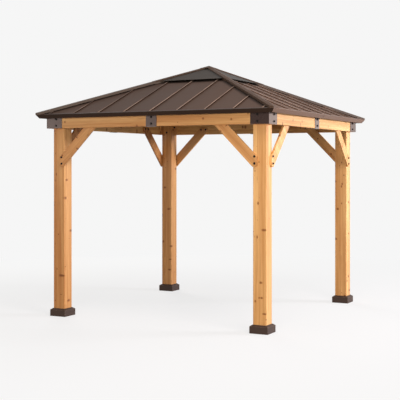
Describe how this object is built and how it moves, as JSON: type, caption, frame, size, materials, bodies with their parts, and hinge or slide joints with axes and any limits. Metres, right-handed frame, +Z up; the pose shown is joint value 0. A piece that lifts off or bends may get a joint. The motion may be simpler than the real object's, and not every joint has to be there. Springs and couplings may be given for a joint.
{
  "type": "garden gazebo",
  "caption": "Square garden gazebo: timber posts with knee braces and bolted beams carry a hipped brown standing-seam steel roof with a raised vent at its peak.",
  "frame": {"origin": "on the ground at the middle of the square plan", "axes": "+Z up; the front looks along -Y and the right side along +X"},
  "size_m": [2.743, 2.743, 2.7219],
  "materials": {
    "stained_timber": "honey brown stain, satin",
    "roof_steel": "brown powder coat, satin",
    "bracket_steel": "dark brown powder coat, satin",
    "boot_brown": "brown powder coat, matt"
  },
  "bodies": {
    "root": {"front_left_post": "stained_timber", "front_right_post": "stained_timber", "back_right_post": "stained_timber", "back_left_post": "stained_timber", "front_left_boot": "boot_brown", "front_right_boot": "boot_brown", "back_right_boot": "boot_brown", "back_left_boot": "boot_brown", "front_left_beam": "stained_timber", "front_right_beam": "stained_timber", "right_front_beam": "stained_timber", "right_back_beam": "stained_timber", "back_right_beam": "stained_timber", "back_left_beam": "stained_timber", "left_back_beam": "stained_timber", "left_front_beam": "stained_timber", "post_spacers": "stained_timber", "splice_plates": "bracket_steel", "front_left_bracket": "bracket_steel", "front_right_bracket": "bracket_steel", "back_right_bracket": "bracket_steel", "back_left_bracket": "bracket_steel", "front_left_brace": "stained_timber", "front_right_brace": "stained_timber", "right_front_brace": "stained_timber", "right_back_brace": "stained_timber", "back_right_brace": "stained_timber", "back_left_brace": "stained_timber", "left_back_brace": "stained_timber", "left_front_brace": "stained_timber", "roof_rafters": "roof_steel", "crown_frame": "roof_steel", "front_roof_panel": "roof_steel", "right_roof_panel": "roof_steel", "back_roof_panel": "roof_steel", "left_roof_panel": "roof_steel", "eave_trims": "roof_steel", "front_left_hip_cover": "roof_steel", "front_right_hip_cover": "roof_steel", "back_right_hip_cover": "roof_steel", "back_left_hip_cover": "roof_steel", "vent_frame": "roof_steel", "vent_panels": "roof_steel", "vent_hip_covers": "roof_steel", "vent_top_cap": "roof_steel"}
  },
  "joints": []
}
